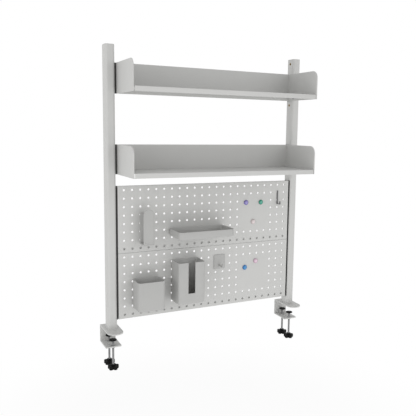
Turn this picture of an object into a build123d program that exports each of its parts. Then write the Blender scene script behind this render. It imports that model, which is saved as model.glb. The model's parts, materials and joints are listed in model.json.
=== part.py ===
from build123d import *
import os
from math import sqrt

# Clamp-on desk shelf: two uprights on C-clamps carry two sheet shelves and two perforated panels.
# Millimetres. X runs along the desk's rear edge, Y points away from the sitter, Z points up.
# The origin lies on the desk top at its rear edge, midway between the uprights.

# Shared values
sheet = 1.5
cut_overrun = 2.0
bolt_clearance = 0.25
seat_clearance = 0.3
slip_clearance = 0.15

# Uprights: rounded rectangular tube with a cap on top and a plug at the foot
upright_width = 42.5
upright_depth = 58.0
upright_corner = 12.0
upright_wall = 2.0
upright_lead = 3.0
cap_thickness = 2.0
cap_spigot = 14.0
spare_nut_gap = 1.0
plug_height = 30.0

# Clamps: one C-shaped plate under each upright, open towards the sitter
clamp_plate = 5.0
clamp_width = 72.0
clamp_jaw = 71.0
clamp_upper_reach = 157.0
clamp_upper_corner = 35.0
clamp_lower_corner = 4.0
clamp_bend = 4.0
foot_bolt_diameter = 8.0
foot_bolt_head = 15.0
foot_bolt_head_height = 4.0
foot_bolt_length = 26.0
foot_bolt_spacing = 30.0

# Clamp screws: pad, threaded rod, knob and the press nut that carries the rod
screw_diameter = 10.0
screw_spacing = 66.0
screw_front_edge = 14.0
pad_drop = 42.0
pad_diameter = 34.0
pad_thickness = 4.5
pad_edge = 1.5
pad_gap = 4.0
hub_diameter = 15.0
hub_height = 3.0
socket_depth = 6.0
knob_drop = 164.0
knob_diameter = 51.0
knob_height = 17.0
knob_lobes = 5
knob_lobe_diameter = 18.0
knob_edge = 2.5
knob_turns = {"left": 3.0, "right": -15.0}
knob_boss_diameter = 22.0
knob_boss_height = 6.0
knob_socket_depth = 14.0
nut_diameter = 15.0
nut_flange_diameter = 20.0
nut_flange_thickness = 4.0

# Shelves: folded sheet tray, its end flanges and its back plate between two thick end plates
shelf_side_gap = 8.5
shelf_depth = 241.0
shelf_lip = 20.5
shelf_hem = 12.0
lip_end_gap = 2.5
upper_shelf_base = 1056.0
lower_shelf_base = 706.0
end_plate = 5.0
end_plate_height = 131.0
end_plate_corner = 36.0
end_plate_round = 2.0
end_screw_diameter = 4.0
end_screw_head = 8.0
end_screw_head_height = 2.6
end_screw_grip = 3.5
end_screw_place_shares = (0.2, 0.8)

# Perforated panels: folded sheet, one above the other
panel_setback = 87.0
panel_width = 892.0
panel_side_gap = 6.5
panel_headroom = 40.0
panel_base = 47.0
panel_seam = 0.4
panel_return = 14.0
panel_bend = 2.0
panel_side_flange = 16.0
panel_foot_flange = 32.0
panel_foot_gap = 3.0
hole_pitch = 38.0
hole_diameter = 10.0
hole_edge = 20.0
blank_first_from_end = 6
blank_first_row = 2
blank_count = 4

# Brackets: black angles that hold shelves and panels to the uprights
bracket_sheet = 2.0
bracket_leg = 28.0
bracket_lap = 16.0
panel_bolt_gap = 4.5
shelf_bolt_gap = 2.5
stud_diameter = 5.0
stud_inset = 9.0
stud_tail = 1.5
stud_nut_width = 8.0
stud_nut_height = 4.0
shelf_stud_shares = (0.3, 0.8)
panel_stud_shares = (0.2, 0.8)
bolt_diameter = 6.0
bolt_head = 11.0
bolt_head_height = 3.3
bolt_length = 14.0
shelf_bolt_rise = 81.0
shelf_bolt_pitch = 51.0
spare_nut_pitch = 102.0
panel_bolt_shares = (0.08, 0.36, 0.64, 0.92)
rivet_nut_diameter = 9.0
rivet_nut_rim = 12.0
rivet_nut_rim_depth = 1.4
rivet_nut_length = 12.0
rivet_nut_bulge = 12.0
rivet_nut_bulge_length = 3.0

# Hooks that hang the accessories in the panel holes
tab_width = 5.0
tab_thickness = 3.0
tab_back_gap = 0.6
tab_drop = 4.5
tab_drop_thickness = 2.5

# Accessories: sizes, and the hole columns and rows that their hooks hang in, from the left and the top
# of the upper panel. The lower ones count their row from the lower panel's top row, the strip hook its
# column from the right. An offset moves a box to the right of the middle of its hooks.
tray_width = 275.0
tray_offset = 7.0
tray_depth = 140.0
tray_height = 33.5
tray_corner = 20.0
tray_wall = 2.0
tray_floor_round = 4.0
tray_top_rise = 6.5
tray_first_column = 7
tray_last_column = 11
tray_row = 5
cup_width = 128.0
cup_offset = 3.0
cup_depth = 100.0
cup_height = 134.0
cup_corner = 18.0
cup_wall = 2.5
cup_floor_round = 8.0
cup_top_rise = 13.0
cup_first_column = 2
cup_last_column = 3
cup_lower_row = 3
bin_width = 133.0
bin_offset = 4.7
bin_depth = 100.0
bin_height = 194.0
bin_corner = 12.0
bin_wall = 2.5
bin_floor_round = 4.0
bin_top_rise = 9.0
bin_first_column = 7
bin_last_column = 8
bin_lower_row = 1
bin_slot_width = 34.0
bin_slot_floor = 49.0
bin_slot_offset = 3.0
holder_width = 51.0
holder_offset = 3.5
holder_depth = 54.0
holder_finger_height = 162.0
holder_back_height = 140.0
holder_sheet = 3.0
holder_bend = 5.0
holder_rim = 5.0
holder_recess = 0.8
holder_top_rise = 8.0
holder_first_column = 2
holder_last_column = 3
holder_row = 3
key_plate_width = 59.0
key_plate_height = 70.0
key_plate_thickness = 3.0
key_plate_corner = 4.0
key_plate_top_rise = 10.0
key_first_column = 12
key_last_column = 13
key_lower_row = 1
key_peg_diameter = 7.0
key_peg_reach = 34.0
key_peg_tip = 12.0
key_peg_rise = 17.0
key_peg_tail = 4.0
strip_width = 7.0
strip_sheet = 3.0
strip_length = 68.0
strip_reach = 28.0
strip_tip = 16.0
strip_bend = 2.5
strip_top_rise = 8.0
strip_column_from_end = 1
strip_row = 1

# Magnets: round domes that cling to the blank fields, placed in pitches from a field's first corner
magnet_diameter = 24.0
magnet_rim = 3.0
magnet_height = 9.0
upper_magnet_shares = {
    "purple_magnet": (0.25, 0.17),
    "green_magnet": (2.46, 0.22),
    "pale_pink_magnet": (1.36, 2.75),
}
lower_magnet_shares = {
    "blue_magnet": (0.24, 0.79),
    "violet_magnet": (1.85, 0.05),
}

# Places worked out from the sizes above
inner_face = panel_width / 2 + panel_side_gap
upright_x = inner_face + upright_width / 2
panel_front = -panel_setback
panel_rear = panel_front + panel_return
bolt_y = panel_rear + bracket_sheet + panel_bolt_gap + bolt_head / 2
upright_y = panel_front - upright_lead + upright_depth / 2
spare_nut_top = upper_shelf_base + shelf_bolt_rise + spare_nut_pitch
upright_foot = clamp_plate
upright_top = spare_nut_top + rivet_nut_bulge / 2 + spare_nut_gap + cap_spigot
upright_height = upright_top - upright_foot
screw_rear_inset = pad_diameter / 2 + pad_gap
clamp_lower_reach = screw_rear_inset + screw_spacing + screw_front_edge
clamp_floor = -clamp_jaw - clamp_plate
shelf_half = inner_face - shelf_side_gap
shelf_rear = bolt_y - bolt_head / 2 - shelf_bolt_gap - bracket_sheet
shelf_front = shelf_rear - shelf_depth
back_face = shelf_rear - sheet
tray_half = shelf_half - end_plate
hole_columns = 2 * int((panel_width / 2 - hole_edge) / hole_pitch) + 1
hole_rows = int((lower_shelf_base - panel_headroom - panel_base) / (2 * hole_pitch))
blank_first_column = hole_columns - 1 - blank_first_from_end
panel_height = hole_rows * hole_pitch - panel_seam
panel_top = panel_base + 2 * panel_height + panel_seam
first_row = panel_top - (hole_pitch - panel_seam) / 2
accessory_back = panel_front - seat_clearance
shelf_bases = {"upper": upper_shelf_base, "lower": lower_shelf_base}
panel_bases = {"lower": panel_base, "upper": panel_base + panel_height + panel_seam}
sides = {"left": -1, "right": 1}
screw_places = {"rear": -screw_rear_inset, "front": -screw_rear_inset - screw_spacing}


def block(x_pair, y_pair, z_pair):
    """A box between two places on each axis, given in either order."""
    spans = [(min(pair), max(pair)) for pair in (x_pair, y_pair, z_pair)]
    centre = [(low + high) / 2 for low, high in spans]
    lengths = [high - low for low, high in spans]
    return Pos(*centre) * Box(*lengths)


def upright_rod(x, y, z_pair, diameter):
    """A cylinder that stands along Z between two heights."""
    low, high = min(z_pair), max(z_pair)
    return Pos(x, y, (low + high) / 2) * Cylinder(diameter / 2, high - low)


def depth_rod(x, z, y_pair, diameter):
    """A cylinder that lies along Y between two depths."""
    low, high = min(y_pair), max(y_pair)
    return Pos(x, (low + high) / 2, z) * Rot(90, 0, 0) * Cylinder(diameter / 2, high - low)


def cross_rod(y, z, x_pair, diameter):
    """A cylinder that lies along X between two places."""
    low, high = min(x_pair), max(x_pair)
    return Pos((low + high) / 2, y, z) * Rot(0, 90, 0) * Cylinder(diameter / 2, high - low)


def sunk_rim(side, y, z, clearance):
    """Cone that widens to an upright's inner face, as the flush rim of a rivet nut or the seat for it."""
    wide, narrow = rivet_nut_rim / 2 + clearance, rivet_nut_diameter / 2 + clearance
    middle = inner_face + rivet_nut_rim_depth / 2
    return Pos(side * middle, y, z) * Rot(0, side * 90, 0) * Cone(wide, narrow, rivet_nut_rim_depth)


def column_x(column):
    return (column - (hole_columns - 1) / 2) * hole_pitch


def row_z(row):
    return first_row - row * hole_pitch


def middle_x(columns):
    return sum(column_x(column) for column in columns) / len(columns)


def tube_outline(inset):
    """The upright's rounded section, drawn in by an inset."""
    return RectangleRounded(upright_width - 2 * inset, upright_depth - 2 * inset, upright_corner - inset)


def shelf_bolt_heights(base):
    return (base + shelf_bolt_rise, base + shelf_bolt_rise - shelf_bolt_pitch)


def panel_bolt_heights():
    return [panel_base + share * (panel_top - panel_base) for share in panel_bolt_shares]


def used_nut_heights():
    heights = list(panel_bolt_heights())
    for base in shelf_bases.values():
        heights.extend(shelf_bolt_heights(base))
    return heights


def spare_nut_heights():
    return (spare_nut_top, spare_nut_top - 2 * spare_nut_pitch)


def all_nut_heights():
    return list(used_nut_heights()) + list(spare_nut_heights())


def upright(side):
    """Tube with countersunk holes in its inner wall for the rivet nuts."""
    tube = extrude(tube_outline(0) - tube_outline(upright_wall), upright_height)
    tube = Pos(side * upright_x, upright_y, upright_foot) * tube
    hole = rivet_nut_diameter + 2 * slip_clearance
    wall_span = (side * (inner_face - cut_overrun), side * (inner_face + upright_wall + cut_overrun))
    for height in all_nut_heights():
        tube -= cross_rod(bolt_y, height, wall_span, hole)
        tube -= sunk_rim(side, bolt_y, height, slip_clearance)
    return tube


def top_cap(side):
    """Plastic cap: a flush plate with a spigot inside the tube."""
    plate = extrude(tube_outline(0), cap_thickness)
    spigot = Pos(0, 0, -cap_spigot) * extrude(tube_outline(upright_wall + slip_clearance), cap_spigot)
    return Pos(side * upright_x, upright_y, upright_top) * (plate + spigot)


def foot_bolt_places():
    return (upright_y - foot_bolt_spacing / 2, upright_y + foot_bolt_spacing / 2)


def foot_plug(side):
    """Block inside the tube's foot that the foot bolts pull down on the clamp."""
    plug = extrude(tube_outline(upright_wall + slip_clearance), plug_height)
    plug = Pos(side * upright_x, upright_y, upright_foot) * plug
    for y in foot_bolt_places():
        span = (upright_foot - cut_overrun, upright_foot + plug_height + cut_overrun)
        plug -= upright_rod(side * upright_x, y, span, foot_bolt_diameter + 2 * bolt_clearance)
    return plug


def countersunk(x, y, diameter, head, head_height):
    """Cone that widens down to the desk-top plane."""
    return Pos(x, y, head_height / 2) * Cone(head / 2, diameter / 2, head_height)


def foot_bolts():
    """Countersunk bolts that hold each upright on its clamp, flush with the jaw."""
    bolts = []
    for side in sides.values():
        for y in foot_bolt_places():
            x = side * upright_x
            head = countersunk(x, y, foot_bolt_diameter, foot_bolt_head, foot_bolt_head_height)
            shank = upright_rod(x, y, (foot_bolt_head_height, foot_bolt_length), foot_bolt_diameter)
            bolts.append(head + shank)
    return bolts


def clamp_bracket(side):
    """C-shaped plate: long round-nosed upper jaw, back plate and short lower jaw."""
    x = side * upright_x
    x_span = (x - clamp_width / 2, x + clamp_width / 2)
    upper = block(x_span, (-clamp_upper_reach, clamp_plate), (0, clamp_plate))
    nose = upper.edges().filter_by(Axis.Z).group_by(Axis.Y)[0]
    upper = fillet(nose, clamp_upper_corner)
    lower = block(x_span, (-clamp_lower_reach, clamp_plate), (clamp_floor, clamp_floor + clamp_plate))
    nose = lower.edges().filter_by(Axis.Z).group_by(Axis.Y)[0]
    lower = fillet(nose, clamp_lower_corner)
    back = block(x_span, (0, clamp_plate), (clamp_floor, clamp_plate))
    bracket = upper + lower + back
    bends = bracket.edges().filter_by(Axis.X).group_by(Axis.Y)[-1]
    bracket = fillet(bends, clamp_bend)
    for y in screw_places.values():
        span = (clamp_floor - cut_overrun, clamp_floor + clamp_plate + cut_overrun)
        bracket -= upright_rod(x, y, span, nut_diameter + 2 * slip_clearance)
    for y in foot_bolt_places():
        span = (-cut_overrun, clamp_plate + cut_overrun)
        bracket -= upright_rod(x, y, span, foot_bolt_diameter + 2 * bolt_clearance)
        bracket -= countersunk(x, y, foot_bolt_diameter + 2 * slip_clearance,
                               foot_bolt_head + 2 * slip_clearance, foot_bolt_head_height)
    return bracket


def clamp_nuts():
    """Press nuts in the lower jaws that the clamp screws run in."""
    nuts = []
    for side in sides.values():
        for y in screw_places.values():
            x = side * upright_x
            body = upright_rod(x, y, (clamp_floor, clamp_floor + clamp_plate), nut_diameter)
            flange_span = (clamp_floor - nut_flange_thickness, clamp_floor)
            flange = upright_rod(x, y, flange_span, nut_flange_diameter)
            bore_span = (flange_span[0] - cut_overrun, clamp_floor + clamp_plate + cut_overrun)
            bore = upright_rod(x, y, bore_span, screw_diameter + 2 * bolt_clearance)
            nuts.append(body + flange - bore)
    return nuts


def screw_pad(x, y):
    """Round pressure pad with a hub below it that the rod's end turns in."""
    top = -pad_drop
    disc = upright_rod(x, y, (top - pad_thickness, top), pad_diameter)
    disc = fillet(disc.edges(), pad_edge)
    hub_span = (top - pad_thickness - hub_height, top - pad_thickness)
    pad = disc + upright_rod(x, y, hub_span, hub_diameter)
    socket_span = (hub_span[0] - cut_overrun, hub_span[0] + socket_depth)
    return pad - upright_rod(x, y, socket_span, screw_diameter + 2 * seat_clearance)


def screw_rod(x, y):
    """Rod from the pad's socket down into the knob."""
    rod_top = -pad_drop - pad_thickness - hub_height + socket_depth - seat_clearance
    rod_foot = -knob_drop + knob_boss_height - knob_socket_depth
    return upright_rod(x, y, (rod_foot, rod_top), screw_diameter)


def screw_knob(x, y, turn):
    """Lobed hand knob with a boss round the rod, turned at rest by some degrees."""
    core = Circle(knob_diameter / 2 - knob_lobe_diameter / 2)
    lobe_circle = knob_diameter / 2 - knob_lobe_diameter / 2
    star = core + PolarLocations(lobe_circle, knob_lobes) * Circle(knob_lobe_diameter / 2)
    star = extrude(star, knob_height)
    rims = star.edges().group_by(Axis.Z)[0] + star.edges().group_by(Axis.Z)[-1]
    star = Pos(x, y, -knob_drop - knob_height) * Rot(0, 0, turn) * fillet(rims, knob_edge)
    boss = upright_rod(x, y, (-knob_drop, -knob_drop + knob_boss_height), knob_boss_diameter)
    boss_top = -knob_drop + knob_boss_height
    socket_span = (boss_top - knob_socket_depth, boss_top + cut_overrun)
    return star + boss - upright_rod(x, y, socket_span, screw_diameter)


def end_screw_places():
    """Depth and height of the screws that hold an end plate, above the shelf's base."""
    height = (shelf_lip - sheet) / 2
    return [(shelf_front + share * shelf_depth, height) for share in end_screw_place_shares]


def stud_places(base, height, shares):
    return [base + share * height for share in shares]


def shelf_tray(base):
    """Folded sheet: floor and front lip with a hem, its front corners open beside the end plates."""
    x_span = (-tray_half, tray_half)
    floor_top = base + shelf_lip
    tray = block(x_span, (shelf_front, back_face), (floor_top - sheet, floor_top))
    tray += block(x_span, (shelf_front, shelf_front + sheet), (base, floor_top))
    tray += block(x_span, (shelf_front, shelf_front + shelf_hem), (base, base + sheet))
    lip_edge = tray.edges().filter_by(Axis.X).group_by(Axis.Y)[0]
    tray = fillet(lip_edge, sheet / 2)
    for side in sides.values():
        corner_span = (side * (tray_half - lip_end_gap), side * (tray_half + cut_overrun))
        corner_depth = (shelf_front - cut_overrun, shelf_front + shelf_hem)
        tray -= block(corner_span, corner_depth, (base - cut_overrun, floor_top + cut_overrun))
    return tray


def shelf_flange(base, side):
    """Strip welded under the floor's end, drilled for the end plate's screws."""
    x_span = (side * (tray_half - sheet), side * tray_half)
    flange = block(x_span, (shelf_front + shelf_hem, back_face), (base, base + shelf_lip - sheet))
    hole_span = (side * (tray_half - sheet - cut_overrun), side * (tray_half + cut_overrun))
    for y, rise in end_screw_places():
        flange -= cross_rod(y, base + rise, hole_span, end_screw_diameter + 2 * bolt_clearance)
    return flange


def shelf_back(base):
    """Plate behind a shelf, welded to the rear edges of the tray."""
    return block((-tray_half, tray_half), (back_face, shelf_rear), (base, base + end_plate_height))


def shelf_studs():
    """Studs welded to the shelves' backs, through the brackets and their nuts."""
    studs = []
    tail = shelf_rear + bracket_sheet + stud_nut_height + stud_tail
    for base in shelf_bases.values():
        for side in sides.values():
            for z in stud_places(base, end_plate_height, shelf_stud_shares):
                studs.append(depth_rod(side * (tray_half - stud_inset), z, (shelf_rear, tail), stud_diameter))
    return studs


def shelf_end(base, side):
    """Thick end plate with a round upper front corner and softened rim."""
    x_span = (side * tray_half, side * shelf_half)
    plate = block(x_span, (shelf_front, shelf_rear), (base, base + end_plate_height))
    corner = plate.edges().filter_by(Axis.X).group_by(Axis.Y)[0].sort_by(Axis.Z)[-1]
    plate = fillet(corner, end_plate_corner)
    rim = [edge for edge in plate.edges().filter_by(Axis.X, reverse=True)
           if edge.center().Y < shelf_rear - end_plate and edge.center().Z > base + end_plate]
    plate = fillet(rim, end_plate_round)
    for y, rise in end_screw_places():
        hole_span = (side * (tray_half - cut_overrun), side * (tray_half + end_screw_grip + bolt_clearance))
        plate -= cross_rod(y, base + rise, hole_span, end_screw_diameter + 2 * bolt_clearance)
    return plate


def end_screws():
    """Screws that hold the end plates, driven from under the shelf floor."""
    screws = []
    face = tray_half - sheet
    for base in shelf_bases.values():
        for side in sides.values():
            for y, rise in end_screw_places():
                head_span = (side * (face - end_screw_head_height), side * face)
                shank_span = (side * face, side * (tray_half + end_screw_grip))
                head = cross_rod(y, base + rise, head_span, end_screw_head)
                screws.append(head + cross_rod(y, base + rise, shank_span, end_screw_diameter))
    return screws


def angle_bracket(side, plane, leg_front, base, height, edge, stud_heights, bolt_heights):
    """Angle with one leg behind the edge of a shelf or panel and the other on the upright's inner face."""
    face = side * inner_face
    z_span = (base, base + height)
    bracket = block((face, side * (edge - bracket_lap)), (plane, plane + bracket_sheet), z_span)
    bracket += block((face, face - side * bracket_sheet), (leg_front, plane + bracket_leg), z_span)
    for z in stud_heights:
        hole_span = (plane - cut_overrun, plane + bracket_sheet + cut_overrun)
        bracket -= depth_rod(side * (edge - stud_inset), z, hole_span, stud_diameter + 2 * bolt_clearance)
    for z in bolt_heights:
        hole_span = (face + side * cut_overrun, face - side * (bracket_sheet + cut_overrun))
        bracket -= cross_rod(bolt_y, z, hole_span, bolt_diameter + 2 * bolt_clearance)
    return bracket


def shelf_bracket(base, side):
    studs = stud_places(base, end_plate_height, shelf_stud_shares)
    bolts = shelf_bolt_heights(base)
    return angle_bracket(side, shelf_rear, shelf_rear, base, end_plate_height, tray_half, studs, bolts)


def panel_stud_heights():
    heights = []
    for base in panel_bases.values():
        heights.extend(stud_places(base, panel_height, panel_stud_shares))
    return heights


def panel_bracket(side):
    """Angle behind both panels, its leg drawn forward to their front beside the upright."""
    height = panel_top - panel_base
    studs = panel_stud_heights()
    bolts = panel_bolt_heights()
    return angle_bracket(side, panel_rear, panel_front, panel_base, height, panel_width / 2, studs, bolts)


def bracket_bolts():
    """Button-head bolts that hold the brackets to the uprights."""
    bolts = []
    seat = inner_face - bracket_sheet
    for side in sides.values():
        for z in used_nut_heights():
            head_span = (side * (seat - bolt_head_height), side * seat)
            shank_span = (side * seat, side * (seat + bolt_length))
            head = cross_rod(bolt_y, z, head_span, bolt_head)
            bolts.append(head + cross_rod(bolt_y, z, shank_span, bolt_diameter))
    return bolts


def rivet_nuts():
    """Threaded inserts, sunk flush in the uprights' inner walls, each with its bulge behind the wall."""
    nuts = []
    for side in sides.values():
        for z in all_nut_heights():
            body_span = (side * inner_face, side * (inner_face + rivet_nut_length))
            bulge_start = inner_face + upright_wall
            bulge_span = (side * bulge_start, side * (bulge_start + rivet_nut_bulge_length))
            bore_end = inner_face + rivet_nut_length + cut_overrun
            bore_span = (side * (inner_face - cut_overrun), side * bore_end)
            nut = cross_rod(bolt_y, z, body_span, rivet_nut_diameter)
            nut += sunk_rim(side, bolt_y, z, 0)
            nut += cross_rod(bolt_y, z, bulge_span, rivet_nut_bulge)
            nuts.append(nut - cross_rod(bolt_y, z, bore_span, bolt_diameter + 2 * bolt_clearance))
    return nuts


def hex_nut(x, z, seat):
    """Nut on a stud that points back along Y."""
    outline = RegularPolygon(stud_nut_width / 2, 6, major_radius=False)
    outline -= Circle(stud_diameter / 2 + bolt_clearance)
    return Pos(x, seat, z) * Rot(-90, 0, 0) * extrude(outline, stud_nut_height)


def stud_nuts():
    """Nuts behind the brackets on the studs of the shelves and panels."""
    nuts = []
    for side in sides.values():
        for base in shelf_bases.values():
            for z in stud_places(base, end_plate_height, shelf_stud_shares):
                nuts.append(hex_nut(side * (tray_half - stud_inset), z, shelf_rear + bracket_sheet))
        for z in panel_stud_heights():
            nuts.append(hex_nut(side * (panel_width / 2 - stud_inset), z, panel_rear + bracket_sheet))
    return nuts


def panel_holes(base):
    """The holes of one panel as solids, without those of the blank field."""
    outline = Sketch()
    top_row = base + panel_height - (hole_pitch - panel_seam) / 2
    blank_columns = range(blank_first_column, blank_first_column + blank_count)
    blank_rows = range(blank_first_row, blank_first_row + blank_count)
    for column in range(hole_columns):
        for row in range(hole_rows):
            if column in blank_columns and row in blank_rows:
                continue
            outline += Pos(column_x(column), top_row - row * hole_pitch) * Circle(hole_diameter / 2)
    drill = extrude(outline, sheet + 2 * cut_overrun)
    return Pos(0, panel_front + sheet + cut_overrun, 0) * Rot(90, 0, 0) * drill


def pegboard_panel(base):
    """Folded sheet: perforated front, returns all round, side flanges, foot flange and studs."""
    half = panel_width / 2
    top = base + panel_height
    panel = block((-half, half), (panel_front, panel_rear), (base, top))
    panel = fillet(panel.edges().group_by(Axis.Y)[0], panel_bend)
    hollow_span = (panel_front + sheet, panel_rear + cut_overrun)
    panel -= block((sheet - half, half - sheet), hollow_span, (base + sheet, top - sheet))
    foot_front = panel_front + sheet + panel_foot_gap
    foot_rear = foot_front + sheet
    panel -= block((sheet - half, half - sheet), (foot_rear, panel_rear), (base - cut_overrun, base + sheet))
    panel += block((-half, half), (foot_front, foot_rear), (base, base + panel_foot_flange))
    flange_span = (panel_rear - sheet, panel_rear)
    for side in sides.values():
        panel += block((side * (half - panel_side_flange), side * half), flange_span, (base, top))
        for z in stud_places(base, panel_height, panel_stud_shares):
            tail = panel_rear + bracket_sheet + stud_nut_height + stud_tail
            panel += depth_rod(side * (half - stud_inset), z, (panel_rear - sheet, tail), stud_diameter)
    return panel - panel_holes(base)


def hook_tab(column, row):
    """Tongue through a panel hole with a short drop behind the panel."""
    x = column_x(column)
    hole_radius = hole_diameter / 2
    seat = row_z(row) - sqrt(hole_radius ** 2 - (tab_width / 2) ** 2) + seat_clearance
    x_span = (x - tab_width / 2, x + tab_width / 2)
    drop_front = panel_front + sheet + tab_back_gap
    drop_span = (drop_front, drop_front + tab_drop_thickness)
    tongue = block(x_span, (accessory_back, drop_span[1]), (seat, seat + tab_thickness))
    return tongue + block(x_span, drop_span, (seat - tab_drop, seat + tab_thickness))


def open_box(width, depth, height, corner, wall, floor_round, top_rise, columns, row, offset):
    """Open-topped box with round corners that hangs on the panel by hook tabs."""
    outer = extrude(RectangleRounded(width, depth, corner), height)
    outer = fillet(outer.edges().group_by(Axis.Z)[0], floor_round)
    inner = extrude(RectangleRounded(width - 2 * wall, depth - 2 * wall, corner - wall), height)
    inner = fillet(inner.edges().group_by(Axis.Z)[0], floor_round - wall)
    top = row_z(row) + top_rise
    shell = outer - Pos(0, 0, wall) * inner
    shell = Pos(middle_x(columns) + offset, accessory_back - depth / 2, top - height) * shell
    for column in columns:
        shell += hook_tab(column, row)
    return shell


def storage_tray():
    columns = (tray_first_column, tray_last_column)
    return open_box(tray_width, tray_depth, tray_height, tray_corner, tray_wall,
                    tray_floor_round, tray_top_rise, columns, tray_row, tray_offset)


def pen_cup():
    columns = (cup_first_column, cup_last_column)
    return open_box(cup_width, cup_depth, cup_height, cup_corner, cup_wall,
                    cup_floor_round, cup_top_rise, columns, hole_rows + cup_lower_row, cup_offset)


def slot_bin():
    """Tall box whose front wall has a slot from its rim down."""
    columns = (bin_first_column, bin_last_column)
    row = hole_rows + bin_lower_row
    shell = open_box(bin_width, bin_depth, bin_height, bin_corner, bin_wall,
                     bin_floor_round, bin_top_rise, columns, row, bin_offset)
    x = middle_x(columns) + bin_slot_offset
    top = row_z(row) + bin_top_rise
    front = accessory_back - bin_depth
    slot_foot = top - bin_height + bin_slot_floor
    x_span = (x - bin_slot_width / 2, x + bin_slot_width / 2)
    wall_span = (front - cut_overrun, front + bin_wall + cut_overrun)
    return shell - block(x_span, wall_span, (slot_foot, top + cut_overrun))


def bent_strip(x, width, top, back_height, depth, front_height, thickness, bend):
    """Strip bent like a J: back on the panel, foot forward, front upward."""
    x_span = (x - width / 2, x + width / 2)
    foot = top - back_height
    front = accessory_back - depth
    strip = block(x_span, (accessory_back - thickness, accessory_back), (foot, top))
    strip += block(x_span, (front, accessory_back), (foot, foot + thickness))
    strip += block(x_span, (front, front + thickness), (foot, foot + front_height))
    strip = fillet(strip.edges().filter_by(Axis.X).group_by(Axis.Z)[1], bend - thickness / 2)
    return fillet(strip.edges().filter_by(Axis.X).group_by(Axis.Z)[0], bend + thickness / 2)


def tablet_holder():
    """Bent strip with a round-topped finger whose face is recessed inside a rim."""
    columns = (holder_first_column, holder_last_column)
    x = middle_x(columns) + holder_offset
    top = row_z(holder_row) + holder_top_rise
    foot = top - holder_back_height
    front = accessory_back - holder_depth
    arch = foot + holder_finger_height - holder_width / 2
    holder = bent_strip(x, holder_width, top, holder_back_height, holder_depth,
                        arch - foot, holder_sheet, holder_bend)
    holder += depth_rod(x, arch, (front, front + holder_sheet), holder_width)
    for column in columns:
        holder += hook_tab(column, holder_row)
    half = holder_width / 2 - holder_rim
    recess_span = (front - cut_overrun, front + holder_recess)
    recess = block((x - half, x + half), recess_span, (foot + holder_bend + holder_rim, arch))
    return holder - recess - depth_rod(x, arch, recess_span, 2 * half)


def key_plate_place():
    """The key plate's hole columns, its hole row and its top edge."""
    row = hole_rows + key_lower_row
    return (key_first_column, key_last_column), row, row_z(row) + key_plate_top_rise


def key_plate():
    """Small plate that carries the key peg."""
    columns, row, top = key_plate_place()
    x = middle_x(columns)
    x_span = (x - key_plate_width / 2, x + key_plate_width / 2)
    y_span = (accessory_back - key_plate_thickness, accessory_back)
    plate = block(x_span, y_span, (top - key_plate_height, top))
    plate = fillet(plate.edges().filter_by(Axis.Y), key_plate_corner)
    for column in columns:
        plate += hook_tab(column, row)
    hole_span = (y_span[0] - cut_overrun, y_span[1] + cut_overrun)
    peg_z = top - key_plate_height + key_peg_rise
    return plate - depth_rod(x, peg_z, hole_span, key_peg_tail + 2 * slip_clearance)


def key_peg():
    """Round peg with an upturned tip, riveted into the key plate by its tail."""
    columns, row, top = key_plate_place()
    x = middle_x(columns)
    z = top - key_plate_height + key_peg_rise
    seat = accessory_back - key_plate_thickness
    tip_y = seat - key_peg_reach
    peg = depth_rod(x, z, (tip_y, seat), key_peg_diameter)
    peg += Pos(x, tip_y, z) * Sphere(key_peg_diameter / 2)
    peg += upright_rod(x, tip_y, (z, z + key_peg_tip), key_peg_diameter)
    peg += Pos(x, tip_y, z + key_peg_tip) * Sphere(key_peg_diameter / 2)
    return peg + depth_rod(x, z, (seat, accessory_back), key_peg_tail)


def strip_hook():
    """Narrow bent strip, open at the front, that hangs in one hole."""
    column = hole_columns - 1 - strip_column_from_end
    x = column_x(column)
    top = row_z(strip_row) + strip_top_rise
    hook = bent_strip(x, strip_width, top, strip_length, strip_reach, strip_tip, strip_sheet, strip_bend)
    return hook + hook_tab(column, strip_row)


def magnet(column, row):
    """Round magnet with a domed cap, turned about an axis along Y."""
    radius = magnet_diameter / 2
    crown = magnet_height - magnet_rim
    dome_radius = (radius ** 2 + crown ** 2) / (2 * crown)
    rim_edge = (radius, -magnet_rim)
    crest = (0, -magnet_height)
    profile = [
        Line((0, 0), (radius, 0)),
        Line((radius, 0), rim_edge),
        RadiusArc(rim_edge, crest, dome_radius),
        Line(crest, (0, 0)),
    ]
    dome = revolve(make_face(profile), Axis.Y)
    return Pos(column_x(column), accessory_back, row_z(row)) * dome


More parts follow.
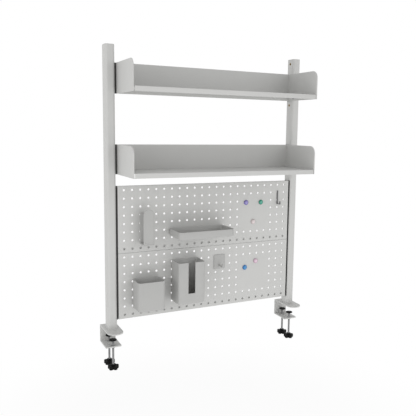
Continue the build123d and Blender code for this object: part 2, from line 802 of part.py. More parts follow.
def all_nodes():
    """Every node's name with its list of pieces."""
    nodes = {
        "foot_bolts": foot_bolts(),
        "clamp_nuts": clamp_nuts(),
        "end_plate_screws": end_screws(),
        "bracket_bolts": bracket_bolts(),
        "rivet_nuts": rivet_nuts(),
        "stud_nuts": stud_nuts(),
        "shelf_studs": shelf_studs(),
        "storage_tray": [storage_tray()],
        "pen_cup": [pen_cup()],
        "slot_bin": [slot_bin()],
        "tablet_holder": [tablet_holder()],
        "key_plate": [key_plate()],
        "key_peg": [key_peg()],
        "strip_hook": [strip_hook()],
    }
    for hand, side in sides.items():
        nodes[f"{hand}_upright"] = [upright(side)]
        nodes[f"{hand}_top_cap"] = [top_cap(side)]
        nodes[f"{hand}_foot_plug"] = [foot_plug(side)]
        nodes[f"{hand}_clamp_bracket"] = [clamp_bracket(side)]
        nodes[f"{hand}_panel_bracket"] = [panel_bracket(side)]
        for place, y in screw_places.items():
            nodes[f"{hand}_{place}_pad"] = [screw_pad(side * upright_x, y)]
            nodes[f"{hand}_{place}_screw"] = [screw_rod(side * upright_x, y)]
            nodes[f"{hand}_{place}_knob"] = [screw_knob(side * upright_x, y, knob_turns[hand])]
    for level, base in shelf_bases.items():
        nodes[f"{level}_shelf_tray"] = [shelf_tray(base)]
        nodes[f"{level}_shelf_back"] = [shelf_back(base)]
        for hand, side in sides.items():
            nodes[f"{level}_shelf_{hand}_flange"] = [shelf_flange(base, side)]
            nodes[f"{level}_shelf_{hand}_end"] = [shelf_end(base, side)]
            nodes[f"{level}_shelf_{hand}_bracket"] = [shelf_bracket(base, side)]
    for level, base in panel_bases.items():
        nodes[f"{level}_panel"] = [pegboard_panel(base)]
    for panel_row, shares in ((0, upper_magnet_shares), (hole_rows, lower_magnet_shares)):
        for name, (across_share, down_share) in shares.items():
            column = blank_first_column + across_share
            nodes[name] = [magnet(column, panel_row + blank_first_row + down_share)]
    return nodes


os.makedirs("parts", exist_ok=True)
for name, pieces in all_nodes().items():
    solids = [solid for piece in pieces for solid in piece.solids()]
    export_step(Compound(children=solids), f"parts/{name}.step")
    print(name, len(solids))
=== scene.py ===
import json
from math import cos, pi, radians, sin, sqrt, tau

import bmesh
import bpy
from mathutils import Euler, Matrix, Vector


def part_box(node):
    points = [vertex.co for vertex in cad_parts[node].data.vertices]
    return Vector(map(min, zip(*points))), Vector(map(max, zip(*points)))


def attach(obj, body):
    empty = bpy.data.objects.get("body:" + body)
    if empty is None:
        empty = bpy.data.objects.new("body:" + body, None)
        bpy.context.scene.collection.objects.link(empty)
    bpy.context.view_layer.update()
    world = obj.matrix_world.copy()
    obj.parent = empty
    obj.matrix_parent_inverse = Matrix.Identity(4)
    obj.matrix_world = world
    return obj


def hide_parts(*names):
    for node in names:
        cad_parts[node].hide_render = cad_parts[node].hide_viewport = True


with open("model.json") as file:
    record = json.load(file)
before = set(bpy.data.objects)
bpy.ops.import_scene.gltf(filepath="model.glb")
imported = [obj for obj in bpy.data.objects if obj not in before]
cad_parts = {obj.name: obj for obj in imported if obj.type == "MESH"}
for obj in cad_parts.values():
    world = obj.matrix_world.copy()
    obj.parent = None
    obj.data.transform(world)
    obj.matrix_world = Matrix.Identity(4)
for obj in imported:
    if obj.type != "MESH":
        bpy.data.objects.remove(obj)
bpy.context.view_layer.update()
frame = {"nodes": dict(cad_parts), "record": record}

# Looks for a clamp-on desk shelf. Metres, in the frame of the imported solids.
scene = bpy.context.scene
node_slots = {row["node"]: row["material_slot"] for row in frame["record"]["subparts"]}

# Camera, solved on the panel's hole grid for a square picture of 416 by 416
picture_size = 416
sensor_width = 36.0
camera_place = (-1.1298, -2.4989, 0.9120)
camera_turn_degrees = (82.534, -0.913, -27.052)
focal_pixels = 562.14
axis_pixel = (229.45, 202.60)

# Stage
desk_height = 0.74
floor_size = 14.0
floor_white = 0.92
floor_roughness = 0.9
floor_glow_share = 0.90
floor_bounce = 0.95
floor_near = 0.7
floor_far = 1.7
world_light = 0.69

# Mesh tolerances
merge_distance = 0.000002
flat_angle = radians(0.4)
sharp_angle = radians(32)

# Widths of the rounded edges
plate_edge = 0.0007
cap_edge = 0.0008
fold_edge = 0.0003
box_edge = 0.0008
thin_edge = 0.0006
edge_segments = 2

# Threads of the clamp screws: their size, crests and ends
thread_pitch = 0.00125
thread_depth = 0.00077
thread_sides = 24
thread_rings_per_turn = 5
crest_gain = 1.25
crest_blend = 0.15
end_drop = 1.2

# Fasteners: sides of a ring, rings of a domed head, and shares of a head's or a socket's size
turned_sides = 24
dome_steps = 4
seat_share = 0.97
socket_mouth = 1.25
socket_lead = 0.05

# The panels' holes and the bead round each
hole_pitch = 0.038
hole_radius = 0.005
hole_columns = 23
hole_rows = 8
blank_first_column = 16
blank_first_row = 2
blank_count = 4
rim_width = 0.0009
rim_rise = 0.00022
rim_sides = 16

# Sockets of the colour mix node
mix_share, mix_first, mix_second = 0, 6, 7
mix_result = 2


class Socket:
    """An output socket. Arithmetic on it adds Math nodes to its tree."""

    def __init__(self, tree, link):
        self.tree = tree
        self.link = link

    def math(self, operation, *values):
        return self.tree.add("ShaderNodeMath", {"operation": operation}, dict(enumerate(values)))

    def __add__(self, other):
        return self.math("ADD", self, other)

    def __radd__(self, other):
        return self.math("ADD", other, self)

    def __sub__(self, other):
        return self.math("SUBTRACT", self, other)

    def __rsub__(self, other):
        return self.math("SUBTRACT", other, self)

    def __mul__(self, other):
        return self.math("MULTIPLY", self, other)

    def __truediv__(self, other):
        return self.math("DIVIDE", self, other)

    def __abs__(self):
        return self.math("ABSOLUTE", self)


class Tree:
    """Adds nodes to one node tree."""

    def __init__(self, tree):
        self.tree = tree

    def node(self, kind, settings=None, sockets=None):
        """A node with its settings made first, then the values or links of its sockets."""
        node = self.tree.nodes.new(kind)
        for name, value in (settings or {}).items():
            if name == "stops":
                self.set_stops(node.color_ramp, value)
            else:
                setattr(node, name, value)
        for key, value in (sockets or {}).items():
            if isinstance(value, Socket):
                self.tree.links.new(value.link, node.inputs[key])
            else:
                node.inputs[key].default_value = value
        return node

    def add(self, kind, settings=None, sockets=None, output=0):
        return Socket(self, self.node(kind, settings, sockets).outputs[output])

    def set_stops(self, ramp, stops):
        while len(ramp.elements) < len(stops):
            ramp.elements.new(1.0)
        for element, (place, colour) in zip(ramp.elements, stops):
            element.position = place
            element.color = colour

    def parts(self, vector):
        """The three numbers of a vector."""
        node = self.node("ShaderNodeSeparateXYZ", None, {0: vector})
        return [Socket(self, output) for output in node.outputs]


class Finish(Tree):
    """A material's node tree round one Principled shader."""

    def __init__(self, name):
        self.material = bpy.data.materials.new(name)
        self.material.use_nodes = True
        super().__init__(self.material.node_tree)
        self.shader = self.tree.nodes["Principled BSDF"]
        self.place = self.add("ShaderNodeTexCoord", output="Object")

    def stretched(self, scale):
        """The place on the object, stretched along its axes."""
        return self.add("ShaderNodeMapping", None, {"Vector": self.place, "Scale": scale})

    def noise(self, scale, detail=2.0, roughness=0.5, place=None):
        return self.add("ShaderNodeTexNoise", None, {
            "Vector": place or self.place, "Scale": scale, "Detail": detail, "Roughness": roughness})

    def grain(self, scale):
        """Distance to the nearest of many scattered points."""
        return self.add("ShaderNodeTexVoronoi", None, {"Vector": self.place, "Scale": scale})

    def mix(self, share, first, second):
        """A colour between two, each a colour or a socket."""
        sockets = {mix_share: share, mix_first: first, mix_second: second}
        return self.add("ShaderNodeMix", {"data_type": "RGBA"}, sockets, output=mix_result)

    def ramp(self, share, stops):
        """A colour that runs through stops of (place, colour)."""
        return self.add("ShaderNodeValToRGB", {"stops": stops}, {"Fac": share})

    def bump(self, height, strength, depth):
        sockets = {"Height": height, "Strength": strength, "Distance": depth}
        return self.add("ShaderNodeBump", None, sockets)

    def done(self, **sockets):
        """Sets or links the shader's own sockets, named with underscores for spaces."""
        for name, value in sockets.items():
            target = self.shader.inputs[name.replace("_", " ")]
            if isinstance(value, Socket):
                self.tree.links.new(value.link, target)
            else:
                target.default_value = value
        return self.material


def shade(colour, factor):
    """An RGBA colour, lighter or darker by a factor."""
    return (*[min(channel * factor, 1.0) for channel in colour], 1.0)


def powder_coat(name, colour, roughness):
    """Matte baked paint: fine orange peel, tiny flecks and a faint cloud in its tone."""
    finish = Finish(name)
    cloud = finish.noise(9.0, detail=3.0, roughness=0.55)
    fleck = finish.noise(2600.0, detail=1.0)
    peel = finish.noise(850.0, roughness=0.6)
    tone = finish.mix(cloud * 0.7 + fleck * 0.3, shade(colour, 0.955), shade(colour, 1.045))
    uneven = roughness - 0.06 + cloud * 0.08 + peel * 0.04
    bump = finish.bump(peel + fleck * 0.35, strength=0.16, depth=0.0004)
    return finish.done(Base_Color=tone, Roughness=uneven, Normal=bump)


def moulded_plastic(name, colour, roughness, shine=0.5):
    """Satin plastic with the fine leathery grain of an etched mould."""
    finish = Finish(name)
    cloud = finish.noise(14.0)
    cells = finish.grain(1500.0)
    fine = finish.noise(3200.0, detail=1.0)
    tone = finish.mix(cloud * 0.8 + fine * 0.2, shade(colour, 0.96), shade(colour, 1.04))
    uneven = roughness - 0.05 + cloud * 0.07 + cells * 0.05
    bump = finish.bump(cells + fine * 0.4, strength=0.10, depth=0.0003)
    return finish.done(Base_Color=tone, Roughness=uneven, Normal=bump, Specular_IOR_Level=shine)


def black_coat(name, colour, roughness):
    """Thin black coat on steel, with faint grey rub marks."""
    finish = Finish(name)
    rub = finish.noise(60.0, detail=5.0, roughness=0.7)
    worn = finish.ramp(rub, [(0.58, (0, 0, 0, 1)), (0.78, (1, 1, 1, 1))])
    peel = finish.noise(1100.0, roughness=0.6)
    tone = finish.mix(worn, shade(colour, 0.9), shade(colour, 1.9))
    bump = finish.bump(peel, strength=0.14, depth=0.0003)
    return finish.done(Base_Color=tone, Roughness=roughness + rub * 0.12 - 0.06, Normal=bump)


def plated_steel(name, colour, tint, roughness):
    """Plated steel: a mottled passivated skin with fine drawn lines along the length."""
    finish = Finish(name)
    mottle = finish.noise(160.0, detail=4.0, roughness=0.6)
    lengthwise = finish.stretched((2400.0, 2400.0, 60.0))
    lines = finish.noise(1.0, place=lengthwise)
    tone = finish.mix(mottle, shade(colour, 0.9), shade(tint, 1.0))
    uneven = roughness - 0.08 + mottle * 0.12 + lines * 0.06
    bump = finish.bump(lines, strength=0.08, depth=0.0002)
    return finish.done(Base_Color=tone, Metallic=1.0, Roughness=uneven, Normal=bump)


def cast_metal(name, colour, roughness):
    """Cast metal with a sandy skin."""
    finish = Finish(name)
    sand = finish.noise(700.0, detail=4.0, roughness=0.7)
    cloud = finish.noise(40.0, detail=3.0)
    tone = finish.mix(cloud, shade(colour, 0.85), shade(colour, 1.1))
    uneven = roughness + sand * 0.15
    bump = finish.bump(sand, strength=0.3, depth=0.0005)
    return finish.done(Base_Color=tone, Metallic=1.0, Roughness=uneven, Normal=bump)


def glossy_plastic(name, colour):
    """Shiny plastic with flow lines, with painted shade towards a forward dome's rim and a painted
    highlight on its crest.
    """
    finish = Finish(name)
    flow = finish.noise(70.0, detail=3.0)
    ripple = finish.noise(420.0, detail=1.0)
    # Painted shade and highlight: the pale colour is a painted highlight for the crest, and the deep
    # stop is painted shade at the rim
    pale = [(channel + sqrt(channel)) / 2 for channel in colour]
    stops = [(0.3, shade(colour, 0.45)), (0.78, shade(colour, 0.92)), (0.98, shade(pale, 1.0))]
    _, backward_share, _ = finish.parts(finish.add("ShaderNodeTexCoord", output="Normal"))
    # Painted shade and highlight, set by how far the surface faces forward: deep at the sideways rim,
    # pale on the forward crest
    painted_shade_and_highlight = finish.ramp(0.0 - backward_share, stops)
    tone = finish.mix(flow * 0.3, painted_shade_and_highlight, shade(colour, 0.88))
    bump = finish.bump(ripple, strength=0.03, depth=0.0002)
    return finish.done(Base_Color=tone, Roughness=0.12 + flow * 0.08, Normal=bump,
                       Coat_Weight=0.5, Coat_Roughness=0.06)


finishes = {
    "light_grey_paint": powder_coat("light_grey_paint", (0.560, 0.560, 0.548), 0.52),
    "light_grey_plastic": moulded_plastic("light_grey_plastic", (0.560, 0.560, 0.548), 0.46),
    "grey_plastic": moulded_plastic("grey_plastic", (0.435, 0.435, 0.425), 0.48),
    "dark_grey_paint": powder_coat("dark_grey_paint", (0.125, 0.125, 0.128), 0.5),
    "black_steel": black_coat("black_steel", (0.028, 0.028, 0.028), 0.5),
    "black_plastic": moulded_plastic("black_plastic", (0.004, 0.004, 0.004), 0.55, 0.13),
    "zinc_steel": plated_steel("zinc_steel", (0.27, 0.27, 0.275), (0.34, 0.34, 0.34), 0.42),
    "gold_zinc": plated_steel("gold_zinc", (0.20, 0.112, 0.002), (0.29, 0.166, 0.005), 0.34),
    "cast_aluminium": cast_metal("cast_aluminium", (0.55, 0.55, 0.55), 0.45),
    "purple_gloss": glossy_plastic("purple_gloss", (0.20, 0.17, 0.48)),
    "green_gloss": glossy_plastic("green_gloss", (0.018, 0.27, 0.175)),
    "pale_pink_gloss": glossy_plastic("pale_pink_gloss", (0.66, 0.57, 0.57)),
    "blue_gloss": glossy_plastic("blue_gloss", (0.010, 0.175, 0.50)),
    "violet_gloss": glossy_plastic("violet_gloss", (0.64, 0.44, 0.55)),
}


def paint_solids():
    """Gives every solid that stays in view its finish."""
    for name, solid in frame["nodes"].items():
        solid.data.materials.clear()
        solid.data.materials.append(finishes[node_slots[name]])


def new_object(name, mesh):
    piece = bpy.data.objects.new(name, mesh)
    scene.collection.objects.link(piece)
    return piece


def set_plain(piece):
    """Turns what the modifiers make into the piece's own mesh."""
    graph = bpy.context.evaluated_depsgraph_get()
    shaped = piece.evaluated_get(graph)
    made = bpy.data.meshes.new_from_object(shaped, preserve_all_data_layers=True, depsgraph=graph)
    piece.modifiers.clear()
    piece.data = made


def stands_for(piece, body, slot, *nodes):
    """Makes a finished piece ride on a body and hides the solids that it replaces; its slot is not used.
    """
    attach(piece, body)
    if nodes:
        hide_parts(*nodes)


def merged(node):
    """A node's solids as one welded work mesh."""
    work = bmesh.new()
    work.from_mesh(frame["nodes"][node].data)
    bmesh.ops.remove_doubles(work, verts=work.verts, dist=merge_distance)
    return work


def solid_boxes(node):
    """The lowest and highest corner of each separate solid in a node."""
    work = merged(node)
    unseen = set(work.verts)
    boxes = []
    while unseen:
        group = [unseen.pop()]
        for vert in group:
            for edge in vert.link_edges:
                other = edge.other_vert(vert)
                if other in unseen:
                    unseen.discard(other)
                    group.append(other)
        low = Vector([min(vert.co[axis] for vert in group) for axis in range(3)])
        high = Vector([max(vert.co[axis] for vert in group) for axis in range(3)])
        boxes.append((low, high))
    work.free()
    return sorted(boxes, key=lambda pair: tuple(pair[0]))


def soften(node, body, width):
    """A copy of a solid with whole flat faces and rounded edges, as rolled or moulded edges are."""
    work = merged(node)
    bmesh.ops.dissolve_limit(work, angle_limit=flat_angle, verts=work.verts, edges=work.edges)
    mesh = bpy.data.meshes.new(f"{node}_softened")
    work.to_mesh(mesh)
    work.free()
    mesh.shade_smooth()
    piece = new_object(f"{node}_softened", mesh)
    mesh.materials.append(finishes[node_slots[node]])
    bevel = piece.modifiers.new("edge", "BEVEL")
    bevel.width = width
    bevel.segments = edge_segments
    bevel.limit_method = "ANGLE"
    bevel.angle_limit = sharp_angle
    bevel.harden_normals = True
    set_plain(piece)
    stands_for(piece, body, node_slots[node], node)


def lofted(name, loops, closed):
    """A smooth object of quads between loops of places. Its ends are capped or, if closed, joined."""
    work = bmesh.new()
    rings = [[work.verts.new(place) for place in loop] for loop in loops]
    pairs = list(zip(rings, rings[1:]))
    if closed:
        pairs.append((rings[-1], rings[0]))
    else:
        work.faces.new(list(reversed(rings[0])))
        work.faces.new(rings[-1])
    for lower, upper in pairs:
        for step in range(len(lower)):
            after = (step + 1) % len(lower)
            work.faces.new((lower[step], lower[after], upper[after], upper[step]))
    bmesh.ops.recalc_face_normals(work, faces=work.faces)
    mesh = bpy.data.meshes.new(name)
    work.to_mesh(mesh)
    work.free()
    mesh.shade_smooth()
    return new_object(name, mesh)


def turned(name, rings, closed=False):
    """A turned template along Z from rings of (radius, height, is_hex). A closed one has a bore."""
    loops = []
    for radius, height, is_hex in rings:
        loop = []
        for step in range(turned_sides):
            angle = tau * step / turned_sides
            reach = radius / cos((angle % (pi / 3)) - pi / 6) if is_hex else radius
            loop.append((reach * cos(angle), reach * sin(angle), height))
        loops.append(loop)
    template = lofted(name, loops, closed)
    template.data.set_sharp_from_angle(angle=sharp_angle)
    return template


def round_rings(*pairs):
    """Round rings of a turned template from (radius, height) pairs."""
    return [(radius, height, False) for radius, height in pairs]


def hexagon_rings(*pairs):
    """Hexagon rings of a turned template from (half width, height) pairs."""
    return [(half, height, True) for half, height in pairs]


def dome(radius, rise):
    """Rings of a low dome from its rim towards its middle. The middle itself, at 0, is left out."""
    rings = []
    for step in range(dome_steps):
        angle = (pi / 2) * step / dome_steps
        rings.append((radius * cos(angle), -rise + rise * sin(angle), False))
    return rings


def socket_rings(width, depth):
    """Rings of a hexagon socket sunk into a head whose top is at 0."""
    half = width / 2
    rings = round_rings((half * socket_mouth, 0.0))
    rings += hexagon_rings((half, -socket_lead * depth), (half, -depth))
    return rings


class GeometryTree(Tree):
    """A Geometry Nodes tree with named inputs for its sizes."""

    def __init__(self, name, sizes, has_points=False):
        super().__init__(bpy.data.node_groups.new(name, "GeometryNodeTree"))
        self.keys = {}
        panel = self.tree.interface
        panel.new_socket("Geometry", in_out="OUTPUT", socket_type="NodeSocketGeometry")
        if has_points:
            panel.new_socket("Points", in_out="INPUT", socket_type="NodeSocketGeometry")
        for label, kind in sizes.items():
            self.keys[label] = panel.new_socket(label, in_out="INPUT", socket_type=kind).identifier
        self.entry = self.tree.nodes.new("NodeGroupInput")

    def given(self, label):
        """One of the tree's named inputs."""
        return Socket(self, self.entry.outputs[label])

    def copies(self, template, mesh, facing):
        """A template on every point of a mesh, with its Z axis along a direction."""
        turn = self.add("FunctionNodeAlignRotationToVector", {"axis": "Z"}, {"Vector": facing})
        shape = self.add("GeometryNodeObjectInfo", None, {"Object": template}, output="Geometry")
        points = self.add("GeometryNodeMeshToPoints", None, {"Mesh": mesh})
        return self.add("GeometryNodeInstanceOnPoints", None, {
            "Points": points, "Instance": shape, "Rotation": turn})

    def finish_with(self, geometry, material):
        """Ends the tree with real geometry in one material."""
        real = self.add("GeometryNodeRealizeInstances", None, {"Geometry": geometry})
        coated = self.add("GeometryNodeSetMaterial", None, {"Geometry": real, "Material": material})
        self.node("NodeGroupOutput", None, {"Geometry": coated})

    def make(self, name, mesh=None, **values):
        """A plain object that the tree makes from its input values and, where it has points, a mesh."""
        piece = new_object(name, mesh or bpy.data.meshes.new(name))
        modifier = piece.modifiers.new("shape", "NODES")
        modifier.node_group = self.tree
        for label, value in values.items():
            modifier[self.keys[label.replace("_", " ")]] = value
        set_plain(piece)
        return piece


def thread_tree(material):
    """A rod whose skin rises and falls along a right-hand helix, with chamfered ends."""
    lengths = ("Length", "Radius", "Depth", "Pitch", "X", "Y", "Z")
    sizes = {label: "NodeSocketFloat" for label in lengths}
    sizes.update({"Sides": "NodeSocketInt", "Rings": "NodeSocketInt"})
    tree = GeometryTree("clamp screw thread", sizes)
    radius, depth = tree.given("Radius"), tree.given("Depth")
    rod = tree.add("GeometryNodeMeshCylinder", None, {
        "Vertices": tree.given("Sides"), "Side Segments": tree.given("Rings"),
        "Radius": radius, "Depth": tree.given("Length")})
    x, y, z = tree.parts(tree.add("GeometryNodeInputPosition"))
    turn = x.math("ARCTAN2", y, x) / tau
    phase = z / tree.given("Pitch") - turn
    wave = abs(phase.math("FRACT", phase) * 2.0 - 1.0)
    flank = wave.math("SMOOTH_MIN", wave * crest_gain, 1.0, crest_blend)
    end_gap = tree.given("Length") / 2.0 - abs(z)
    skin = radius - depth + depth * flank
    skin = skin.math("MINIMUM", skin, radius - depth * end_drop + end_gap)
    share = skin / radius
    moved = tree.add("ShaderNodeCombineXYZ", None, {
        "X": x * share + tree.given("X"), "Y": y * share + tree.given("Y"), "Z": z + tree.given("Z")})
    shaped = tree.add("GeometryNodeSetPosition", None, {"Geometry": rod, "Position": moved})
    smooth = tree.add("GeometryNodeSetShadeSmooth", None, {"Geometry": shaped})
    tree.finish_with(smooth, material)
    return tree


def cut_threads():
    """Threaded rods in place of the plain ones of the clamp screws."""
    slot = node_slots["left_rear_screw"]
    tree = thread_tree(finishes[slot])
    for hand in ("left", "right"):
        for place in ("rear", "front"):
            node = f"{hand}_{place}_screw"
            low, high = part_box(node)
            middle = (low + high) / 2
            length = high.z - low.z
            turns = int(length / thread_pitch)
            piece = tree.make(f"{node}_thread", Length=length, Radius=(high.x - low.x) / 2,
                              Depth=thread_depth, Pitch=thread_pitch, X=middle.x, Y=middle.y, Z=middle.z,
                              Sides=thread_sides, Rings=turns * thread_rings_per_turn)
            stands_for(piece, f"{node}_body", slot, node)


def fastener_tree(name, template, material):
    """A template set on every point, with its head along the point's own direction."""
    tree = GeometryTree(name, {}, has_points=True)
    vectors = {"data_type": "FLOAT_VECTOR"}
    facing = tree.add("GeometryNodeInputNamedAttribute", vectors, {"Name": "facing"})
    tree.finish_with(tree.copies(template, tree.given("Points"), facing), material)
    return tree


def point_mesh(name, seats):
    """Points at the seats' places that carry the seats' directions."""
    mesh = bpy.data.meshes.new(name)
    mesh.from_pydata([place for place, _ in seats], [], [])
    attribute = mesh.attributes.new("facing", "FLOAT_VECTOR", "POINT")
    for item, (_, direction) in zip(attribute.data, seats):
        item.vector = direction
    return mesh


def fasten(node, template, seat):
    """Sets a detailed fastener on every plain one of a node. seat gives each its place and direction."""
    seats = [seat(low, high) for low, high in solid_boxes(node)]
    slot = node_slots[node]
    tree = fastener_tree(f"{node} in place", template, finishes[slot])
    name = f"{node}_detailed"
    piece = tree.make(name, point_mesh(name, seats))
    bpy.data.objects.remove(template)
    stands_for(piece, "frame", slot, node)


def inward(low, high):
    """The inner end of a fastener that lies along X, and the way to the middle of the shelf."""
    y, z = (low.y + high.y) / 2, (low.z + high.z) / 2
    if low.x > 0:
        return (low.x, y, z), (-1, 0, 0)
    return (high.x, y, z), (1, 0, 0)


def backward(low, high):
    """The rear end of a nut that lies along Y, and the way back."""
    return ((low.x + high.x) / 2, high.y, (low.z + high.z) / 2), (0, 1, 0)


def downward(low, high):
    """The lower end of a fastener that stands along Z, and the way down."""
    return ((low.x + high.x) / 2, (low.y + high.y) / 2, low.z), (0, 0, -1)


def button_bolt():
    """Button head with a hexagon socket, origin on top of the head."""
    head, rise, shank, length = 0.0055, 0.0033, 0.003, 0.014
    domed_share, socket_width, socket_depth = 0.8, 0.004, 0.0019
    rings = round_rings((shank, -rise - length), (shank, -rise), (head * seat_share, -rise))
    rings += dome(head, rise * domed_share)
    rings += socket_rings(socket_width, socket_depth)
    return turned("button_bolt", rings)


def pan_screw():
    """Pan head with a hexagon socket, origin on top of the head."""
    head, rise, shank, length = 0.004, 0.0026, 0.002, 0.005
    tip_share, tip_length = 0.5, 0.001
    domed_share, socket_width, socket_depth = 0.75, 0.0025, 0.0014
    rings = round_rings((shank * tip_share, -rise - length), (shank, -rise - length + tip_length),
                        (shank, -rise), (head * seat_share, -rise))
    rings += dome(head, rise * domed_share)
    rings += socket_rings(socket_width, socket_depth)
    return turned("pan_screw", rings)


def countersunk_bolt():
    """Flat countersunk head with a hexagon socket, origin on the flat of the head."""
    head, rise, shank, length = 0.0075, 0.004, 0.004, 0.026
    tip_share, tip_length = 0.8, 0.001
    edge, flat_share, socket_width, socket_depth = 0.0003, 0.98, 0.005, 0.0026
    rings = round_rings((shank * tip_share, -length), (shank, -length + tip_length), (shank, -rise),
                        (head, -edge), (head * flat_share, 0.0))
    rings += socket_rings(socket_width, socket_depth)
    return turned("countersunk_bolt", rings)


def rivet_nut():
    """Flush insert: sunk rim, thin wall and the bulge that grips behind the upright's wall."""
    rim, outer, bore, bulge, length = 0.006, 0.0045, 0.00325, 0.006, 0.012
    rim_depth, wall, neck = 0.0014, 0.002, 0.005
    bulge_share, bulge_front, bulge_crest, bulge_rear = 0.94, 0.0021, 0.003, 0.0045
    lead_in, lead_depth = 0.0005, 0.0006
    rings = round_rings((rim, 0.0), (outer, -rim_depth), (outer, -wall),
                        (bulge * bulge_share, -bulge_front), (bulge, -bulge_crest),
                        (bulge * bulge_share, -bulge_rear), (outer, -neck), (outer, -length),
                        (bore, -length), (bore, -lead_depth), (bore + lead_in, 0.0))
    return turned("rivet_nut", rings, closed=True)


def hexagon_nut():
    """Chamfered hexagon nut with a bore, origin on its outer face."""
    half, bore, height = 0.004, 0.00275, 0.004
    corner_depth, shoulder_depth, shoulder_share, face_share = 0.0006, 0.0002, 0.97, 0.88
    lead_in, lead_depth = 0.0003, 0.0004
    rings = hexagon_rings((half, -height), (half, -corner_depth))
    rings += round_rings((half * shoulder_share, -shoulder_depth), (half * face_share, 0.0),
                         (bore + lead_in, 0.0), (bore, -lead_depth), (bore, -height))
    return turned("hexagon_nut", rings, closed=True)


def press_nut():
    """Flanged nut pressed into the lower jaw, origin on the flange's lower face."""
    body, flange, thick, bore, height = 0.0075, 0.010, 0.004, 0.00525, 0.009
    chamfer, lead_in, lead_depth = 0.0007, 0.0005, 0.0006
    rings = round_rings((body, -height), (body, -thick), (flange, -thick), (flange, -chamfer),
                        (flange - chamfer, 0.0), (bore + lead_in, 0.0), (bore, -lead_depth),
                        (bore, -height))
    return turned("press_nut", rings, closed=True)


def set_fasteners():
    """Detailed fasteners in place of all the plain ones."""
    fasten("bracket_bolts", button_bolt(), inward)
    fasten("end_plate_screws", pan_screw(), inward)
    fasten("foot_bolts", countersunk_bolt(), downward)
    fasten("rivet_nuts", rivet_nut(), inward)
    fasten("stud_nuts", hexagon_nut(), backward)
    fasten("clamp_nuts", press_nut(), downward)


def hole_rim():
    """The low round bead of paint that a punched hole has, origin in the sheet's front face."""
    crest = hole_radius + rim_width / 2
    profile = [(hole_radius + rim_width, 0.0), (crest, rim_rise), (hole_radius, 0.0)]
    angles = [tau * step / rim_sides for step in range(rim_sides)]
    loops = []
    for radius, height in profile:
        loops.append([(radius * cos(angle), radius * sin(angle), height) for angle in angles])
    return lofted("hole_rim", loops, closed=True)


def rim_tree(template, material):
    """Rims on a grid of holes, without those of the blank field."""
    lengths = ("Pitch", "Front", "Top Row", "Blank Left", "Blank Top", "Blank Size")
    sizes = {label: "NodeSocketFloat" for label in lengths}
    sizes.update({"Columns": "NodeSocketInt", "Rows": "NodeSocketInt"})
    tree = GeometryTree("perforation rims", sizes)
    pitch, columns, rows = tree.given("Pitch"), tree.given("Columns"), tree.given("Rows")
    height = (rows - 1.0) * pitch
    grid = tree.add("GeometryNodeMeshGrid", None, {
        "Size X": (columns - 1.0) * pitch, "Size Y": height,
        "Vertices X": columns, "Vertices Y": rows})
    x, y, _ = tree.parts(tree.add("GeometryNodeInputPosition"))
    z = y - height / 2.0 + tree.given("Top Row")
    across = x - tree.given("Blank Left")
    down = tree.given("Blank Top") - z
    size = tree.given("Blank Size")
    in_columns = across.math("GREATER_THAN", across, 0.0) * across.math("LESS_THAN", across, size)
    in_rows = down.math("GREATER_THAN", down, 0.0) * down.math("LESS_THAN", down, size)
    punched = tree.add("GeometryNodeDeleteGeometry", {"domain": "POINT"}, {
        "Geometry": grid, "Selection": in_columns * in_rows})
    place = tree.add("ShaderNodeCombineXYZ", None, {"X": x, "Y": tree.given("Front"), "Z": z})
    stood = tree.add("GeometryNodeSetPosition", None, {"Geometry": punched, "Position": place})
    forward = (0.0, -1.0, 0.0)
    tree.finish_with(tree.copies(template, stood, forward), material)
    return tree


def bead_holes():
    """A bead round every hole of both panels."""
    slot = node_slots["upper_panel"]
    template = hole_rim()
    tree = rim_tree(template, finishes[slot])
    all_rows = hole_rows * hole_pitch
    # The blank field begins half a pitch before its first missing hole
    blank_left = (blank_first_column - hole_columns / 2) * hole_pitch
    for node in ("upper_panel", "lower_panel"):
        low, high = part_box(node)
        top_row = (low.z + high.z) / 2 + (all_rows - hole_pitch) / 2
        blank_top = top_row - (blank_first_row - 0.5) * hole_pitch
        piece = tree.make(f"{node}_hole_rims", Pitch=hole_pitch, Columns=hole_columns, Rows=hole_rows,
                          Front=low.y, Top_Row=top_row, Blank_Left=blank_left, Blank_Top=blank_top,
                          Blank_Size=blank_count * hole_pitch)
        stands_for(piece, "frame", slot)
    bpy.data.objects.remove(template)


def soften_edges():
    """Rounds the edges that catch light on the sheet metal and the moulded accessories."""
    for hand in ("left", "right"):
        soften(f"{hand}_clamp_bracket", "frame", plate_edge)
        soften(f"{hand}_top_cap", "frame", cap_edge)
    for level in ("upper", "lower"):
        soften(f"{level}_shelf_tray", "frame", fold_edge)
    soften("storage_tray", "storage_tray_body", thin_edge)
    soften("pen_cup", "pen_cup_body", box_edge)
    soften("slot_bin", "slot_bin_body", box_edge)
    soften("tablet_holder", "tablet_holder_body", thin_edge)
    soften("key_plate", "key_hook_body", thin_edge)
    soften("strip_hook", "strip_hook_body", thin_edge)


def soft_white(tree, strength_of_light):
    """1 for camera, mirror and glass rays, and the given strength for all others."""
    rays = tree.node("ShaderNodeLightPath")
    seen = Socket(tree, rays.outputs["Is Camera Ray"])
    for label in ("Is Glossy Ray", "Is Transmission Ray"):
        seen = seen.math("MAXIMUM", seen, Socket(tree, rays.outputs[label]))
    return strength_of_light + seen * (1.0 - strength_of_light)


def light_world():
    """A surround that looks white and lights the part somewhat less."""
    world = bpy.data.worlds.new("surround")
    world.use_nodes = True
    scene.world = world
    tree = Tree(world.node_tree)
    background = world.node_tree.nodes["Background"]
    world.node_tree.links.new(soft_white(tree, world_light).link, background.inputs["Strength"])
    background.inputs["Color"].default_value = (1.0, 1.0, 1.0, 1.0)


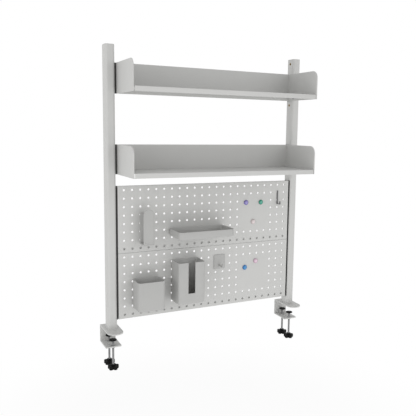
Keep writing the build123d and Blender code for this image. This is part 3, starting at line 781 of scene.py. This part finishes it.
def lay_floor():
    """A plain pale floor below the clamps that turns white like the surround away from the shelf."""
    half = floor_size / 2
    mesh = bpy.data.meshes.new("floor")
    corners = [(-half, -half), (half, -half), (half, half), (-half, half)]
    mesh.from_pydata([(x, y, -desk_height) for x, y in corners], [], [(0, 1, 2, 3)])
    floor = new_object("floor", mesh)
    finish = Finish("pale_floor")
    pale = (floor_white, floor_white, floor_white, 1.0)
    material = finish.done(Base_Color=pale, Roughness=floor_roughness)
    glow = finish.add("ShaderNodeEmission", None, {"Color": (1.0, 1.0, 1.0, 1.0), "Strength": 1.0})
    x, y, _ = finish.parts(finish.place)
    reach = x.math("SQRT", x * x + y * y)
    rise = finish.add("ShaderNodeMapRange", {"interpolation_type": "SMOOTHSTEP"}, {
        "Value": reach, "From Min": floor_near, "From Max": floor_far,
        "To Min": floor_glow_share, "To Max": 1.0})
    share = soft_white(finish, floor_bounce) * rise
    lit = Socket(finish, finish.shader.outputs["BSDF"])
    blended = finish.add("ShaderNodeMixShader", None, {0: share, 1: lit, 2: glow})
    finish.tree.links.new(blended.link, finish.tree.nodes["Material Output"].inputs["Surface"])
    mesh.materials.append(material)


def hang_lamp(name, place, target, size, power):
    lamp = bpy.data.lights.new(name, "AREA")
    lamp.shape = "DISK"
    lamp.size = size
    lamp.energy = power
    holder = bpy.data.objects.new(name, lamp)
    holder.location = place
    holder.rotation_euler = (Vector(target) - Vector(place)).to_track_quat("-Z", "Y").to_euler()
    scene.collection.objects.link(holder)


def light_studio():
    """Three soft lamps in front of the shelf: right, left, and low for the undersides."""
    middle = (0.0, -0.15, 0.55)
    upper_shelf = (0.0, -0.15, 1.1)
    hang_lamp("key", (1.7, -3.0, 1.2), middle, size=2.2, power=12.0)
    hang_lamp("fill", (-3.0, -1.5, 0.9), middle, size=2.4, power=19.0)
    hang_lamp("low_fill", (0.2, -1.8, -0.65), upper_shelf, size=1.8, power=7.0)


def set_camera():
    lens = bpy.data.cameras.new("camera")
    lens.sensor_fit = "HORIZONTAL"
    lens.sensor_width = sensor_width
    lens.lens = focal_pixels / picture_size * sensor_width
    lens.shift_x = (picture_size / 2 - axis_pixel[0]) / picture_size
    lens.shift_y = (axis_pixel[1] - picture_size / 2) / picture_size
    camera = bpy.data.objects.new("camera", lens)
    camera.location = camera_place
    camera.rotation_euler = Euler([radians(angle) for angle in camera_turn_degrees])
    scene.collection.objects.link(camera)
    scene.camera = camera


paint_solids()
soften_edges()
cut_threads()
set_fasteners()
bead_holes()
light_world()
lay_floor()
light_studio()
set_camera()
scene.view_settings.view_transform = "Standard"
